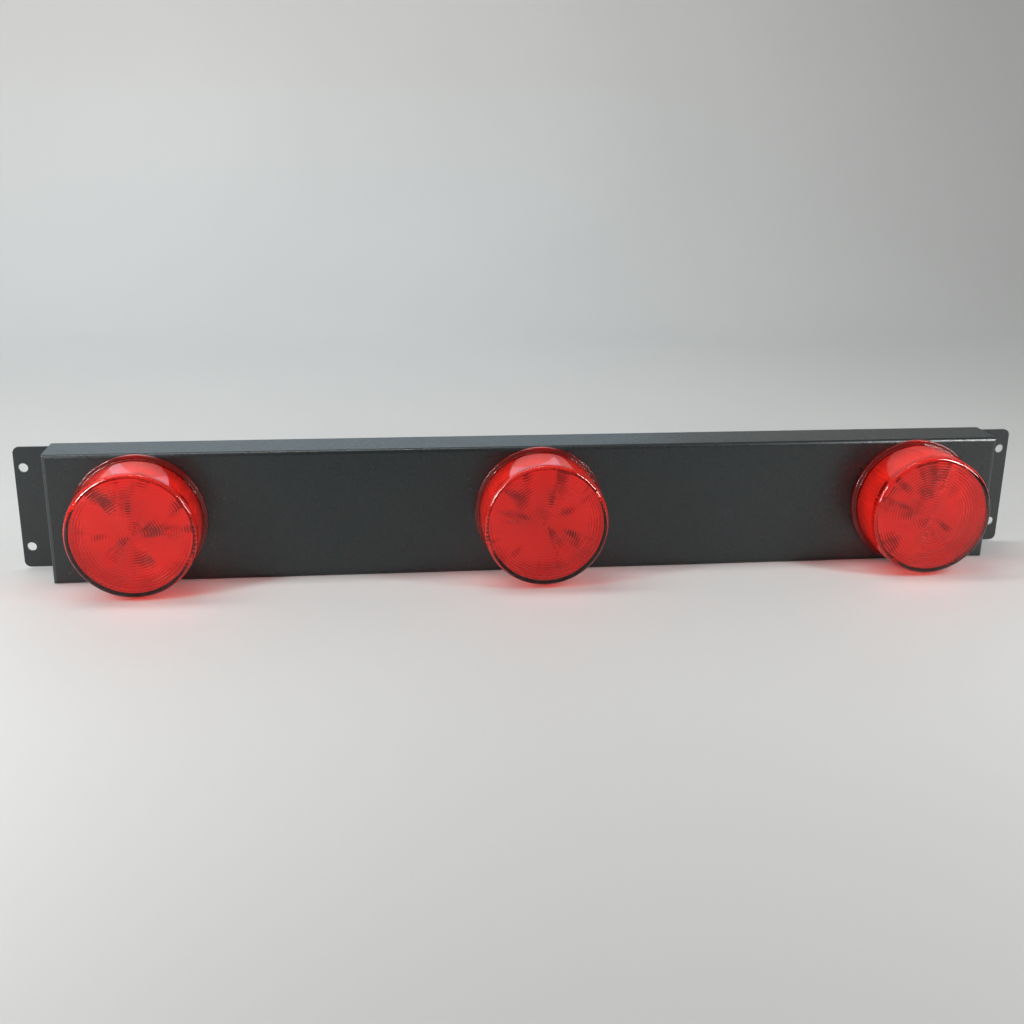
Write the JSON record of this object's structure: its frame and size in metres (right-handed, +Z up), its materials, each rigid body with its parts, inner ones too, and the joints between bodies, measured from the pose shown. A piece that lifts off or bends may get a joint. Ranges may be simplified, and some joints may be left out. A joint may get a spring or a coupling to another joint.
{
  "type": "trailer light bar",
  "caption": "Folded black steel bar with a drilled ear at each end, carrying round red marker lamps in a row, for identification lights across a trailer's rear.",
  "frame": {"origin": "centre of the four mounting holes, on the plane behind the ears", "axes": "+X along the bar to the right as seen from the front, +Y away from the viewer into the trailer, +Z up"},
  "size_m": [0.502, 0.0503, 0.0636],
  "materials": {
    "bar": "black powder coat with a fine orange-peel texture",
    "lens": "clear red, glossy",
    "housing": "white moulded",
    "board": "white solder mask",
    "led": "clear resin",
    "resistor": "black chip",
    "diode": "black moulded",
    "terminal": "tinned"
  },
  "bodies": {
    "root": {"mounting_bar": "bar", "left_lens": "lens", "centre_lens": "lens", "right_lens": "lens", "left_housing": "housing", "centre_housing": "housing", "right_housing": "housing", "left_circuit_board": "board", "centre_circuit_board": "board", "right_circuit_board": "board", "left_led_middle": "led", "left_led_1": "led", "left_led_2": "led", "left_led_3": "led", "centre_led_middle": "led", "centre_led_1": "led", "centre_led_2": "led", "centre_led_3": "led", "right_led_middle": "led", "right_led_1": "led", "right_led_2": "led", "right_led_3": "led", "left_resistor_1": "resistor", "left_resistor_2": "resistor", "left_resistor_3": "resistor", "centre_resistor_1": "resistor", "centre_resistor_2": "resistor", "centre_resistor_3": "resistor", "right_resistor_1": "resistor", "right_resistor_2": "resistor", "right_resistor_3": "resistor", "left_diode": "diode", "centre_diode": "diode", "right_diode": "diode", "left_terminal_1": "terminal", "left_terminal_2": "terminal", "centre_terminal_1": "terminal", "centre_terminal_2": "terminal", "right_terminal_1": "terminal", "right_terminal_2": "terminal"}
  },
  "joints": []
}
